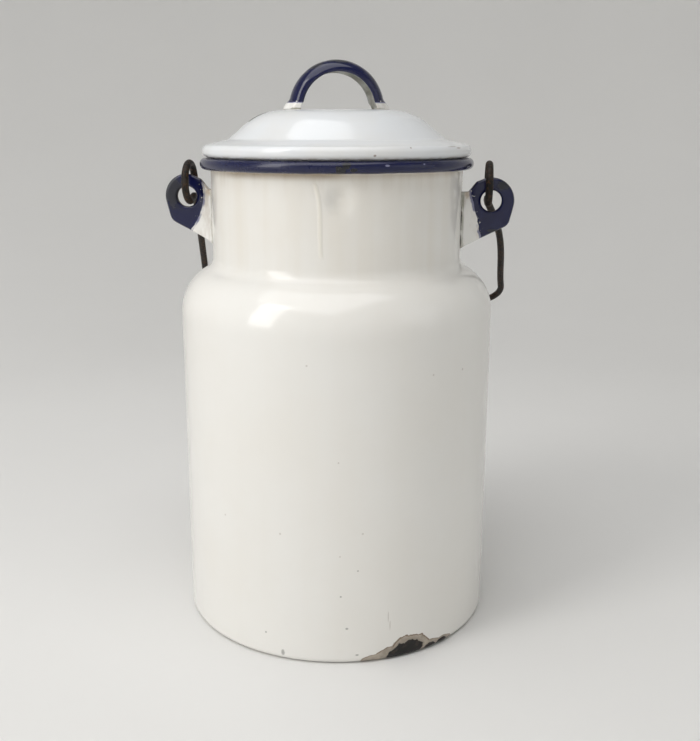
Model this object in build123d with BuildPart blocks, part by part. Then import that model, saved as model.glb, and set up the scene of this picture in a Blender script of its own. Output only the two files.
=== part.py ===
from build123d import *
import math
import os

# Enamel milk pail: a drawn can with a rolled rim, two welded ears, a wire bail with a wooden grip
# and a lift-off lid. Millimetres, +Z up, origin at the centre of the base, ears along X.
# The bail is modelled hanging behind the can, and the lid seated on the rim.

# Can: one enamelled sheet, drawn and spun
wall = 1.2
body_radius = 65.0
base_recess = 2.0
base_corner = 2.6
foot_width = 6.0
foot_step = 2.2
foot_bend = 0.8
shoulder_corner_height = 142.3
shoulder_rise = 7.4
shoulder_flat = 0.3
neck_inset = 13.5
neck_bend = 6.0
neck_length = 43.0
curl_width = 5.4
curl_height = 4.5
curl_bend = 2.15
curl_gap = 0.7

# Ears: pressed lugs welded to the neck, each a ring on a root that flares onto the neck
wire_radius = 1.5
ear_reach = 11.6
ear_drop = 17.0
ear_hole_play = 2.7
ear_band = 5.1
ear_thickness = 2.8
ear_edge = 0.9
ear_chin_radius = 3.6
ear_chin_drop = 9.2
ear_chin_inset = 1.6
ear_root_below = 19.1
ear_root_above = 5.1
ear_flare_start = 4.4
ear_flare = 8.6

# Bail: one wire with an eye bent at each end
eye_inset = 1.2
eye_sag = 1.0
eye_bend = 4.0
eye_turn = 320.0
bail_lean = 8.5
lean_bend = 12.0
bail_corner = 14.0
bail_drop = 61.2

# Grip: turned wood on the cross bar
grip_radius = 9.8
grip_end_radius = 7.6
grip_length = 84.0
grip_end_round = 2.0
grip_bore_play = 0.3

# Lid: pressed dome with a rolled edge, an inner collar and a strap handle
lid_wall = 1.0
crown_rise = 18.6
dome_run = 13.6
crown_bend = 22.5
groove_rise = 6.75
groove_bend = 3.0
flange_width = 10.7
flange_inset = 1.0
flange_drop = 2.35
flange_bend = 2.4
hem_bend = 2.1
hem_width = 4.0
collar_play = 0.6
collar_drop = 15.7
collar_lip = 4.0
collar_bend = 1.6
handle_radius = 19.5
handle_depth = 4.8
handle_width = 13.0
handle_wall = 1.0
handle_foot_length = 8.4
handle_foot_thick = 1.3
handle_foot_corner = 2.5
handle_turn = 16.5

# Running clearance between pieces that move against each other
seat_gap = 0.3

# Heights and radii that follow from these
neck_radius = body_radius - neck_inset
neck_corner_height = shoulder_corner_height + shoulder_rise
rim_top = neck_corner_height + neck_length
crown_height = rim_top + crown_rise
groove_height = rim_top + groove_rise
ear_x = neck_radius + ear_reach
ear_height = rim_top - ear_drop
ear_root_low = ear_height - ear_root_below
ear_root_high = ear_height + ear_root_above
ear_hole_radius = wire_radius + ear_hole_play
ear_ring_radius = ear_hole_radius + ear_band
eye_x = ear_x - eye_inset
eye_height = ear_height + (ear_hole_radius + ear_ring_radius) / 2
eye_radius = eye_height - ear_height + eye_sag
bar_reach = body_radius + seat_gap + grip_radius
bar_height = eye_height - bail_drop
bail_arm = math.hypot(bar_reach, bail_drop)
hang_angle = math.atan2(bail_drop, bar_reach)

os.makedirs("parts", exist_ok=True)

# Can body. The line runs along the middle of the sheet, from the centre of the base up the
# wall, the shoulder and the neck to the cut edge of the curl.
half_wall = wall / 2
body_middle = body_radius - half_wall
neck_middle = neck_radius - half_wall
neck_inside = neck_radius - wall
slope_turn = math.atan2(neck_inset, shoulder_rise)
slope_bends = (math.hypot(neck_inset, shoulder_rise) - shoulder_flat) / math.tan(slope_turn / 2)
shoulder_bend = slope_bends - neck_bend
corner_drop = half_wall * math.tan(slope_turn / 2)
foot_inside = body_radius - foot_width
curl_top = rim_top - half_wall
curl_bottom = rim_top - curl_height + half_wall
curl_outside = neck_inside + curl_width - half_wall
with BuildPart() as can_body:
    with BuildSketch(Plane.XZ):
        with BuildLine():
            FilletPolyline(
                (0, base_recess + half_wall),
                (foot_inside - foot_step, base_recess + half_wall),
                (foot_inside, half_wall),
                (body_middle, half_wall),
                (body_middle, shoulder_corner_height - corner_drop),
                (neck_middle, neck_corner_height - corner_drop),
                (neck_middle, curl_top),
                (curl_outside, curl_top),
                (curl_outside, curl_bottom),
                (neck_radius + curl_gap, curl_bottom),
                radius=[
                    foot_bend,
                    foot_bend,
                    base_corner - half_wall,
                    shoulder_bend - half_wall,
                    neck_bend + half_wall,
                    curl_bend - half_wall,
                    curl_bend - half_wall,
                    curl_bend - half_wall,
                ],
            )
        trace(line_width=wall)
    revolve(axis=Axis.Z)

# Ears. The side outline is a hull round the ring, the chin below it and the root on the neck;
# the plan outline is a thin plate that flares towards the neck.
ear_root_x = neck_radius - wall
flare_x = ear_x - ear_flare_start
half_plate = ear_thickness / 2
root_half_width = half_plate + ear_flare - math.sqrt(ear_flare**2 - (flare_x - neck_radius) ** 2)
with BuildPart() as ear_right:
    with BuildSketch(Plane.XZ):
        with BuildLine():
            CenterArc((ear_x, ear_height), ear_ring_radius, 0, 360)
            CenterArc((ear_x - ear_chin_inset, ear_height - ear_chin_drop), ear_chin_radius, 0, 360)
            Line((ear_root_x, ear_root_low), (ear_root_x, ear_root_high))
        make_hull()
        with Locations((ear_x, ear_height)):
            Circle(ear_hole_radius, mode=Mode.SUBTRACT)
    extrude(amount=root_half_width, both=True)
    with BuildSketch(Plane.XY.offset(ear_root_low - wall)):
        with BuildLine():
            Polyline(
                (ear_root_x, root_half_width),
                (ear_root_x, 0),
                (ear_x + ear_ring_radius, 0),
                (ear_x + ear_ring_radius, half_plate),
                (flare_x, half_plate),
            )
            RadiusArc((flare_x, half_plate), (neck_radius, root_half_width), ear_flare)
            Line((neck_radius, root_half_width), (ear_root_x, root_half_width))
        make_face()
        mirror(about=Plane.XZ)
    extrude(amount=ear_height + ear_ring_radius, mode=Mode.INTERSECT)
    with BuildSketch():
        Circle(neck_radius)
    extrude(amount=rim_top, mode=Mode.SUBTRACT)
    add(can_body.part, mode=Mode.SUBTRACT)
    plate_faces = ear_right.faces().filter_by(Axis.Y)
    rounded = plate_faces.edges().filter_by(lambda edge: edge.center().X > flare_x + ear_edge)
    fillet(rounded, radius=ear_edge)

with BuildPart() as ear_left:
    mirror(ear_right.part, about=Plane.YZ)

# Bail wire, in the plane that it hangs in: local x along the ears, local y from the eyes down
# to the bar. Each eye lies square to x, with a bend that leads it off the leg's own line.
bail_plane = Plane(
    origin=(0, 0, eye_height),
    x_dir=(1, 0, 0),
    z_dir=(0, math.sin(hang_angle), math.cos(hang_angle)),
)
eye_plane = Plane(
    origin=(eye_x, 0, eye_height),
    x_dir=(0, -math.sin(hang_angle), -math.cos(hang_angle)),
    z_dir=(1, 0, 0),
)
bend_reach = math.sqrt((eye_radius + eye_bend) ** 2 - eye_bend**2)
bend_turn = math.degrees(math.atan2(bend_reach, eye_bend))
lean_start = bend_reach + lean_bend * math.tan(math.radians(bail_lean) / 2) + 0.5
bar_half = eye_x + (bail_arm - lean_start) * math.tan(math.radians(bail_lean))
with BuildPart() as bail_wire:
    with BuildLine(bail_plane) as bail_line:
        FilletPolyline(
            (eye_x, bend_reach),
            (eye_x, lean_start),
            (bar_half, bail_arm),
            (-bar_half, bail_arm),
            (-eye_x, lean_start),
            (-eye_x, bend_reach),
            radius=[lean_bend, bail_corner, bail_corner, lean_bend],
        )
    leg_and_bar = bail_line.wire()
    with BuildSketch(Plane(leg_and_bar @ 0, z_dir=leg_and_bar % 0)):
        Circle(wire_radius)
    sweep(path=leg_and_bar)
    with BuildLine(eye_plane) as eye_line:
        CenterArc((eye_bend, bend_reach), eye_bend, 180, bend_turn)
        CenterArc((0, 0), eye_radius, bend_turn, -eye_turn)
    eye_curl = eye_line.wire()
    with BuildSketch(Plane(eye_curl @ 0, z_dir=eye_curl % 0)):
        Circle(wire_radius)
    right_eye = sweep(path=eye_curl)
    mirror(right_eye, about=Plane.YZ)

# Wooden grip, turned about the bar, thickest in the middle
grip_bore = wire_radius + grip_bore_play
grip_plane = Plane(origin=(0, bar_reach, bar_height), x_dir=(1, 0, 0), z_dir=(0, -1, 0))
with BuildPart() as bail_grip:
    with BuildSketch(grip_plane):
        with BuildLine():
            ThreePointArc(
                (-grip_length / 2, grip_end_radius),
                (0, grip_radius),
                (grip_length / 2, grip_end_radius),
            )
            Polyline(
                (grip_length / 2, grip_end_radius),
                (grip_length / 2, grip_bore),
                (-grip_length / 2, grip_bore),
                (-grip_length / 2, grip_end_radius),
            )
        make_face()
    revolve(axis=Axis((0, bar_reach, bar_height), (1, 0, 0)))
    end_rims = bail_grip.edges().filter_by(GeomType.CIRCLE).filter_by(
        lambda edge: edge.radius > grip_bore + grip_end_round
    )
    fillet(end_rims, radius=grip_end_round)

# Lid dome. The line runs along the middle of the sheet, from the crown over the slope, the
# groove and the flange to the hem rolled in under it, which rests on the rim.
half_lid = lid_wall / 2
flange_radius = neck_inside + curl_width - flange_inset
groove_radius = flange_radius - flange_width
crown_corner_radius = groove_radius - dome_run
flange_middle = flange_radius - half_lid
flange_corner_height = groove_height - flange_drop
hem_middle = rim_top + seat_gap + half_lid
with BuildPart() as lid_dome:
    with BuildSketch(Plane.XZ):
        with BuildLine():
            FilletPolyline(
                (0, crown_height - half_lid),
                (crown_corner_radius, crown_height - half_lid),
                (groove_radius, groove_height),
                (flange_middle, flange_corner_height),
                (flange_middle, hem_middle),
                (flange_radius - hem_width, hem_middle),
                radius=[crown_bend, groove_bend, flange_bend - half_lid, hem_bend - half_lid],
            )
        trace(line_width=lid_wall)
    revolve(axis=Axis.Z)

# Lid collar: a short tube that plugs the neck. Its lip lies flat against the flange's underside,
# where it is welded.
flange_slope = flange_drop / (flange_middle - groove_radius)
lip_drop = lid_wall * math.hypot(1, flange_slope)
collar_middle = neck_inside - collar_play - half_lid
collar_top = groove_height - flange_slope * (collar_middle - groove_radius) - lip_drop
with BuildPart() as lid_collar:
    with BuildSketch(Plane.XZ):
        with BuildLine():
            FilletPolyline(
                (collar_middle, rim_top - collar_drop),
                (collar_middle, collar_top),
                (collar_middle - collar_lip, collar_top + flange_slope * collar_lip),
                radius=collar_bend,
            )
        trace(line_width=lid_wall)
    revolve(axis=Axis.Z)

# Lid handle: a half-round channel bent to an arch, its ends spread into feet on the crown
turn = math.radians(handle_turn)
handle_along = (math.cos(turn), math.sin(turn), 0)
handle_across = (-math.sin(turn), math.cos(turn), 0)
handle_plane = Plane(origin=(0, 0, crown_height), x_dir=handle_along, z_dir=(0, 0, 1))
channel_mouth = handle_radius - handle_depth
foot_centre = channel_mouth + handle_foot_length / 2 - handle_wall
with BuildPart() as lid_handle:
    with BuildSketch(handle_plane):
        with Locations((channel_mouth, 0)):
            Ellipse(handle_depth, handle_width / 2)
            Ellipse(handle_depth - handle_wall, handle_width / 2 - handle_wall, mode=Mode.SUBTRACT)
            Rectangle(
                2 * handle_depth,
                2 * handle_width,
                align=(Align.MAX, Align.CENTER),
                mode=Mode.SUBTRACT,
            )
    revolve(axis=Axis((0, 0, crown_height), handle_across), revolution_arc=-180)
    with BuildSketch(handle_plane):
        with Locations((foot_centre, 0), (-foot_centre, 0)):
            RectangleRounded(handle_foot_length, handle_width, handle_foot_corner)
    extrude(amount=handle_foot_thick)

pieces = {
    "can_body": can_body,
    "ear_right": ear_right,
    "ear_left": ear_left,
    "bail_wire": bail_wire,
    "bail_grip": bail_grip,
    "lid_dome": lid_dome,
    "lid_collar": lid_collar,
    "lid_handle": lid_handle,
}
for name, piece in pieces.items():
    piece.part.label = name
    export_step(piece.part, "parts/" + name + ".step")

print("bail hinge axis height", round(eye_height, 3), "eye radius", round(eye_radius, 3))
print("grip axis y", round(bar_reach, 3), "z", round(bar_height, 3), "arm", round(bail_arm, 3))
print("bail swing degrees", round(180 + 2 * math.degrees(hang_angle), 2))
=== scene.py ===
# %% [markdown]
# # Enamel milk pail
# A two litre milk can of enamelled sheet steel: a can with a stepped neck and a rolled rim, two
# welded ears, a wire bail with a wooden grip, and a lid with a collar and a strap handle.
# The solid model already fixes every size and joint. This scene dresses it: each solid is
# replaced by a finer mesh in the same place, and each finish is made of shader nodes.

# %% Load the frame
import math

import bmesh
import bpy
from mathutils import Matrix, Vector


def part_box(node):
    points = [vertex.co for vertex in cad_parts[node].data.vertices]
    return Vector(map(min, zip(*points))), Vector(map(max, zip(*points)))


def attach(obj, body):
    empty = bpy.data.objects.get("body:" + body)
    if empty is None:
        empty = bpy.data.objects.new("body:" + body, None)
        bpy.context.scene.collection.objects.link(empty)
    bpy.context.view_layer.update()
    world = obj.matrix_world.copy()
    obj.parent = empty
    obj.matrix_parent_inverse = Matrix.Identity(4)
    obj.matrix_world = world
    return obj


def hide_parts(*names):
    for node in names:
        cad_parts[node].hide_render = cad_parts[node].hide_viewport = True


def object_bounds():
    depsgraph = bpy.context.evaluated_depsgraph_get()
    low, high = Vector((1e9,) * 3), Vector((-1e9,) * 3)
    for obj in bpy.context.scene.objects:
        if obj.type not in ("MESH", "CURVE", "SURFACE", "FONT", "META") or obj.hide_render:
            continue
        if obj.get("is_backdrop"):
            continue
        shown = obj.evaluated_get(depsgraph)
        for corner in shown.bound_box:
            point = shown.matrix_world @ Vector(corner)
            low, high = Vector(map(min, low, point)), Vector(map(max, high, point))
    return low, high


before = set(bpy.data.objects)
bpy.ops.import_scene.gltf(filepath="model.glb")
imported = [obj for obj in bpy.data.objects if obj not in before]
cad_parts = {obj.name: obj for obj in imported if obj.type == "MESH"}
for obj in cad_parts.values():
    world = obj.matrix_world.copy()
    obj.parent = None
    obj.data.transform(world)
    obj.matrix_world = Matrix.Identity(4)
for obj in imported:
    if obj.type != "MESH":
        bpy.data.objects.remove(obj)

MM = 0.001
cad_box = [list(corner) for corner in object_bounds()]
print("solid model from", cad_box[0], "to", cad_box[1])

# %% [markdown]
# ## The camera
# The photograph was taken from about 0.4 m away, a little above the lid and 6.5 degrees round
# towards the right ear. The lens follows from how fast the can narrows towards its base. The
# photograph is cropped, so the point that the lens looks straight at lies a little left of its
# middle, and a small shift of the camera says so. Turning the camera instead would lean the can.

# %% Camera
PHOTO_WIDTH_PX = 700
PHOTO_HEIGHT_PX = 741
FOCAL_LENGTH_PX = 949.7
LENS_CENTRE_PX = (336.8, 372.2)
SENSOR_MM = 36.0
CAMERA_PLACE = Vector((45.1, -395.6, 203.2)) * MM
CAMERA_AIM = Vector((-0.1097, 0.9630, -0.2463))

camera_data = bpy.data.cameras.new("photo_camera")
camera_data.sensor_width = SENSOR_MM
camera_data.lens = FOCAL_LENGTH_PX / PHOTO_HEIGHT_PX * SENSOR_MM
camera_data.shift_x = (PHOTO_WIDTH_PX / 2 - LENS_CENTRE_PX[0]) / PHOTO_HEIGHT_PX
camera_data.shift_y = (LENS_CENTRE_PX[1] - PHOTO_HEIGHT_PX / 2) / PHOTO_HEIGHT_PX
camera_data.clip_start = 0.01
camera = bpy.data.objects.new("photo_camera", camera_data)
camera.location = CAMERA_PLACE
camera.rotation_euler = CAMERA_AIM.to_track_quat("-Z", "Y").to_euler()
bpy.context.scene.collection.objects.link(camera)
bpy.context.scene.camera = camera
bpy.context.scene.view_settings.view_transform = "Standard"
print("lens", round(camera_data.lens, 2), "mm, shifted", round(camera_data.shift_x, 4))

# %% [markdown]
# ## Sizes of the can
# These repeat the real object's sizes, in millimetres, so that each mesh lies where its solid
# is. What the frame can tell, such as the height of the rim, is read from the frame instead.

# %% Shared sizes
WALL = 1.2
BODY_RADIUS = 65.0
NECK_RADIUS = 51.5
NECK_INSIDE = NECK_RADIUS - WALL
RIM_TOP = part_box("can_body")[1][2] / MM
CURL_WIDTH = 5.4
CURL_HEIGHT = 4.5
CURL_LOW = RIM_TOP - CURL_HEIGHT
CROWN_HEIGHT = RIM_TOP + 18.6
EAR_X = NECK_RADIUS + 11.6
EAR_HEIGHT = RIM_TOP - 17.0
WIRE_RADIUS = 1.5
print("rim at", round(RIM_TOP, 2), "mm")


# %% [markdown]
# ## Outlines with rounded corners
# Pressed sheet has no sharp corner, so an outline is given as the few points where its straight
# runs would meet, with a bend radius for each. The helper replaces each corner by an arc and
# cuts the straight runs into short steps, because a mesh that bends or dents needs points.

# %% Rounded outline
def rounded_outline(corners, radii, step=3.0, arc_step=12.0):
    """Points along a run of 2-D corners, each corner rounded by its radius."""
    arcs = []
    for before, corner, after, radius in zip(corners, corners[1:], corners[2:], radii):
        here = Vector(corner)
        arriving = (here - Vector(before)).normalized()
        leaving = (Vector(after) - here).normalized()
        turn = arriving.angle_signed(leaving)
        if abs(turn) < 1e-6:
            arcs.append([here])
            continue
        reach = radius * math.tan(abs(turn) / 2)
        start = here - arriving * reach
        side = -1 if turn > 0 else 1
        centre = start + Vector((-arriving.y, arriving.x)) * radius * side
        pieces = max(3, round(math.degrees(abs(turn)) / arc_step))
        arc = []
        for k in range(pieces + 1):
            spoke = (start - centre).copy()
            spoke.rotate(Matrix.Rotation(-turn * k / pieces, 2))
            arc.append(centre + spoke)
        arcs.append(arc)
    points = [Vector(corners[0])]
    for arc in arcs + [[Vector(corners[-1])]]:
        gap = (arc[0] - points[-1]).length
        pieces = max(1, math.ceil(gap / step))
        start = points[-1]
        for k in range(1, pieces):
            points.append(start.lerp(arc[0], k / pieces))
        points.extend(arc if gap > 1e-6 else arc[1:])
    return points


def sheet_outline(middle, thickness, closed):
    """The outline of a sheet whose middle follows the points, with rounded cut edges."""
    half = thickness / 2
    left = []
    right = []
    for k, point in enumerate(middle):
        along = (middle[min(k + 1, len(middle) - 1)] - middle[max(k - 1, 0)]).normalized()
        across = Vector((-along.y, along.x)) * half
        left.append(point + across)
        right.append(point - across)

    def cut_edge(end, along):
        across = Vector((-along.y, along.x))
        turns = [math.radians(a) for a in (60, 30, 0, -30, -60)]
        return [end + (along * math.cos(a) + across * math.sin(a)) * half for a in turns]

    outline = left + cut_edge(middle[-1], (middle[-1] - middle[-2]).normalized())
    outline += right[::-1]
    if closed:
        outline += cut_edge(middle[0], (middle[0] - middle[1]).normalized())
        outline.append(left[0])
    return outline


# %% [markdown]
# ## A node tree that turns an outline
# The can, the lid, the collar and the grip are all turned shapes: one outline, carried round an
# axis. A Screw modifier could do that, but it can't press a dent into the sheet. This tree
# takes the outline's points, lays a grid with one row for each point and one column for each
# step round the axis, and puts every grid point at its turned place. On the way it adds a
# slow waviness, as fired sheet has, and one round dent.

# %% Turned-piece tree
def socket_id(tree, name):
    """A modifier knows the inputs of its tree by identifier, not by name."""
    return next(item.identifier for item in tree.interface.items_tree if item.name == name)


class Tree:
    """Adds nodes to a node tree and links their sockets, one short call for each node.
    An input is given by its name, or as _0, _1 and so on by its place."""

    def __init__(self, tree):
        self.tree = tree

    def add(self, kind, settings=None, **inputs):
        node = self.tree.nodes.new(kind)
        for name, value in (settings or {}).items():
            setattr(node, name, value)
        for name, value in inputs.items():
            key = int(name[1:]) if name[1:].isdigit() else name
            self.feed(node.inputs[key], value)
        return node

    def feed(self, socket, value):
        if isinstance(value, bpy.types.Node):
            value = next(out for out in value.outputs if out.enabled)
        if isinstance(value, bpy.types.NodeSocket):
            self.tree.links.new(value, socket)
        else:
            socket.default_value = value

    def math(self, operation, first, second=0.0, third=0.0):
        node = self.add("ShaderNodeMath", {"operation": operation}, _0=first, _1=second, _2=third)
        return node.outputs[0]

    def vector(self, operation, first, second=(0.0, 0.0, 0.0)):
        return self.add("ShaderNodeVectorMath", {"operation": operation}, _0=first, _1=second)


def tree_input(tree, name, kind, default=None):
    socket = tree.interface.new_socket(name=name, in_out="INPUT", socket_type=kind)
    if default is not None:
        socket.default_value = default


turned = bpy.data.node_groups.new("turned_piece", "GeometryNodeTree")
tree_input(turned, "Outline", "NodeSocketGeometry")
tree_input(turned, "Columns", "NodeSocketInt", 192)
tree_input(turned, "Wave depth", "NodeSocketFloat", 0.0)
tree_input(turned, "Wave length", "NodeSocketFloat", 0.05)
tree_input(turned, "Seed", "NodeSocketFloat", 0.0)
tree_input(turned, "Dent place", "NodeSocketVector", (0.0, 0.0, -1.0))
tree_input(turned, "Dent radius", "NodeSocketFloat", 0.008)
tree_input(turned, "Dent depth", "NodeSocketFloat", 0.0)
tree_input(turned, "Material", "NodeSocketMaterial")
turned.interface.new_socket(name="Piece", in_out="OUTPUT", socket_type="NodeSocketGeometry")

t = Tree(turned)
given = t.add("NodeGroupInput").outputs
rows = t.add(
    "GeometryNodeAttributeDomainSize", {"component": "MESH"}, Geometry=given["Outline"]
).outputs["Point Count"]
grid = t.add("GeometryNodeMeshGrid")
grid.inputs["Size X"].default_value = 1.0
grid.inputs["Size Y"].default_value = 1.0
t.feed(grid.inputs["Vertices X"], t.math("ADD", given["Columns"], 1.0))
t.feed(grid.inputs["Vertices Y"], rows)
index = t.add("GeometryNodeInputIndex").outputs[0]
row = t.math("MODULO", index, rows)
column = t.math("FLOOR", t.math("DIVIDE", t.math("ADD", index, 0.5), rows))
outline_point = t.add(
    "GeometryNodeSampleIndex",
    {"data_type": "FLOAT_VECTOR", "domain": "POINT"},
    Geometry=given["Outline"],
    Value=t.add("GeometryNodeInputPosition").outputs[0],
    Index=row,
)
parts = t.add("ShaderNodeSeparateXYZ", Vector=outline_point)
angle = t.math("MULTIPLY", t.math("DIVIDE", column, given["Columns"]), 2 * math.pi)
outward = t.add("ShaderNodeCombineXYZ", X=t.math("COSINE", angle), Y=t.math("SINE", angle))
spoke = t.vector("SCALE", outward)
t.feed(spoke.inputs["Scale"], parts.outputs["X"])
lift = t.add("ShaderNodeCombineXYZ", Z=parts.outputs["Z"])
round_place = t.vector("ADD", spoke, lift)
wave = t.add(
    "ShaderNodeTexNoise",
    {"noise_dimensions": "4D"},
    Vector=round_place,
    Scale=t.math("DIVIDE", 1.0, given["Wave length"]),
    W=given["Seed"],
    Detail=1.0,
).outputs[0]
dent_distance = t.vector("DISTANCE", round_place, given["Dent place"]).outputs["Value"]
dent = t.add(
    "ShaderNodeMapRange",
    {"interpolation_type": "SMOOTHERSTEP"},
    **{"Value": dent_distance, "From Min": 0.0, "From Max": given["Dent radius"]},
)
dent.inputs["To Min"].default_value = 1.0
dent.inputs["To Max"].default_value = 0.0
inward = t.math(
    "MULTIPLY_ADD", dent, given["Dent depth"], t.math("MULTIPLY", wave, given["Wave depth"])
)
push = t.vector("SCALE", outward)
t.feed(push.inputs["Scale"], t.math("MULTIPLY", inward, -1.0))
placed = t.add("GeometryNodeSetPosition", Geometry=grid.outputs["Mesh"])
t.feed(placed.inputs["Position"], t.vector("ADD", round_place, push))
SAME_POINT = 2e-6
merged = t.add("GeometryNodeMergeByDistance", Geometry=placed, Distance=SAME_POINT)
smooth = t.add("GeometryNodeSetShadeSmooth", Geometry=merged)
real = t.add("GeometryNodeRealizeInstances", Geometry=smooth)
finished = t.add("GeometryNodeSetMaterial", Geometry=real, Material=given["Material"])
t.add("NodeGroupOutput", _0=finished)
print("turned-piece tree has", len(turned.nodes), "nodes")


# %% [markdown]
# ## From tree to plain mesh
# A modifier is good for trying sizes, but a finished piece is a plain mesh that rides on a body
# of the model. So the tree's result is taken as a new mesh, its normals are checked, and the
# object that carried the modifier is thrown away.

# %% Helpers that finish a mesh
def outward_normals(mesh):
    """Makes the faces of a closed mesh point out of it."""
    work = bmesh.new()
    work.from_mesh(mesh)
    bmesh.ops.recalc_face_normals(work, faces=work.faces)
    if work.calc_volume(signed=True) < 0:
        bmesh.ops.reverse_faces(work, faces=work.faces)
    work.to_mesh(mesh)
    work.free()


def place_piece(name, mesh, material, body, node):
    """A finished mesh becomes a piece that replaces its solid and rides on its body."""
    mesh.name = name
    if not mesh.materials:
        mesh.materials.append(material)
    for face in mesh.polygons:
        face.use_smooth = True
    piece = bpy.data.objects.new(name, mesh)
    bpy.context.scene.collection.objects.link(piece)
    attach(piece, body)
    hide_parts(node)
    size = [round((high - low) / MM, 1) for low, high in zip(*piece_box(mesh))]
    print(name, "has", len(mesh.polygons), "faces and measures", size, "mm")
    return piece


def piece_box(mesh):
    places = [vertex.co for vertex in mesh.vertices]
    return [[pick(p[k] for p in places) for k in range(3)] for pick in (min, max)]


def run_tree(tree, source_mesh, values):
    """Runs a node tree on a mesh and returns the result as a new mesh."""
    carrier = bpy.data.objects.new("carrier", source_mesh)
    bpy.context.scene.collection.objects.link(carrier)
    modifier = carrier.modifiers.new("tree", "NODES")
    modifier.node_group = tree
    for name, value in values.items():
        modifier[socket_id(tree, name)] = value
    evaluated = carrier.evaluated_get(bpy.context.evaluated_depsgraph_get())
    result = bpy.data.meshes.new_from_object(evaluated)
    carrier.modifiers.remove(modifier)
    bpy.data.objects.remove(carrier)
    bpy.data.meshes.remove(source_mesh)
    return result


def line_mesh(points):
    """A mesh of edges through the points, given in metres."""
    mesh = bpy.data.meshes.new("line")
    mesh.from_pydata(points, [(k, k + 1) for k in range(len(points) - 1)], [])
    return mesh


def turned_mesh(outline, material, columns, **values):
    """Turns an outline of (radius, height) points in millimetres round the Z axis."""
    points = [(max(p.x, 0.0) * MM, 0.0, p.y * MM) for p in outline]
    inputs = {"Columns": columns, "Material": material}
    inputs.update({name.replace("_", " ").capitalize(): v for name, v in values.items()})
    mesh = run_tree(turned, line_mesh(points), inputs)
    outward_normals(mesh)
    return mesh


# %% [markdown]
# ## Finishes
# Vitreous enamel is glass fused to steel: hard, glossy, and slightly wavy. Age shows as chips
# down to black iron, as brown water marks under the rolled rim, and as dull scratches. Every
# pattern reads Object coordinates, in metres, so it stays on the piece when the piece moves.
# A chip is a round or oval spot whose distance field is roughened by noise. On a turned piece
# a spot is easiest to place by its angle, so the place is first unrolled: the way round the
# axis, the radius and the height become the three coordinates.

# %% Material helpers
def new_finish(name):
    """An empty node material with its shader, ready to be filled in."""
    material = bpy.data.materials.new(name)
    material.use_nodes = True
    tree = Tree(material.node_tree)
    shader = material.node_tree.nodes["Principled BSDF"]
    return material, tree, shader


def object_place(t):
    return t.add("ShaderNodeTexCoord").outputs["Object"]


def noise(t, place, size, detail=3.0, roughness=0.55, stretch=(1.0, 1.0, 1.0), shift=0.0):
    """Noise whose blotches are about size metres across, stretched along an axis if asked."""
    scaled = t.add("ShaderNodeMapping", Vector=place, Scale=stretch, Location=(shift, 0.0, 0.0))
    made = t.add("ShaderNodeTexNoise", Vector=scaled, Scale=1.0 / size)
    made.inputs["Detail"].default_value = detail
    made.inputs["Roughness"].default_value = roughness
    return made.outputs[0]


def ramp(t, value, low, high, start=0.0, end=1.0):
    """A smooth step from start to end as value goes from low to high."""
    made = t.add("ShaderNodeMapRange", {"interpolation_type": "SMOOTHSTEP"}, Value=value)
    made.inputs["From Min"].default_value = low
    made.inputs["From Max"].default_value = high
    made.inputs["To Min"].default_value = start
    made.inputs["To Max"].default_value = end
    return made.outputs[0]


def blend_colours(t, factor, first, second):
    made = t.add("ShaderNodeMix", {"data_type": "RGBA"})
    t.feed(made.inputs[0], factor)
    t.feed(made.inputs[6], first)
    t.feed(made.inputs[7], second)
    return made.outputs[2]


def spot_distance(t, place, spots):
    """Distance from the nearest spot's centre, in spot radii: 0 at the centre, 1 at its edge.
    A spot is a centre and three half sizes, in millimetres."""
    nearest = None
    for centre, half_sizes in spots:
        moved = t.vector("SUBTRACT", place, [c * MM for c in centre])
        scaled = t.vector("DIVIDE", moved, [h * MM for h in half_sizes])
        distance = t.vector("LENGTH", scaled).outputs["Value"]
        nearest = distance if nearest is None else t.math("MINIMUM", nearest, distance)
    return nearest


def rough_distance(t, place, spots, roughness):
    """The same distance with the spots' edges roughened by noise."""
    return t.math("ADD", spot_distance(t, place, spots), roughness)


def unrolled(t, place):
    """The place as metres round the axis at the body's radius, the radius, and the height."""
    parts = t.add("ShaderNodeSeparateXYZ", Vector=place)
    turn = t.math("ARCTAN2", parts.outputs["Y"], parts.outputs["X"])
    flat = t.add("ShaderNodeCombineXYZ", X=parts.outputs["X"], Y=parts.outputs["Y"])
    return t.add(
        "ShaderNodeCombineXYZ",
        X=t.math("MULTIPLY", turn, BODY_RADIUS * MM),
        Y=t.vector("LENGTH", flat).outputs["Value"],
        Z=parts.outputs["Z"],
    )


def way_round(angle):
    """An angle in degrees from +X towards +Y, as millimetres round the body."""
    return math.radians(angle) * BODY_RADIUS


def spots_round(rows):
    """Spots of an unrolled piece, each from its angle, radius, height and three half sizes:
    along the way round, along the radius and up."""
    spots = []
    for angle, radius, height, along, deep, up in rows:
        half_sizes = (along * BODY_RADIUS / radius, deep, up)
        spots.append(((way_round(angle), radius, height), half_sizes))
    return spots


def wall_spots(rows):
    """Spots on the body's wall, each from its angle, height and two half sizes."""
    return spots_round([(a, BODY_RADIUS, h, along, 5.0, up) for a, h, along, up in rows])


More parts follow.
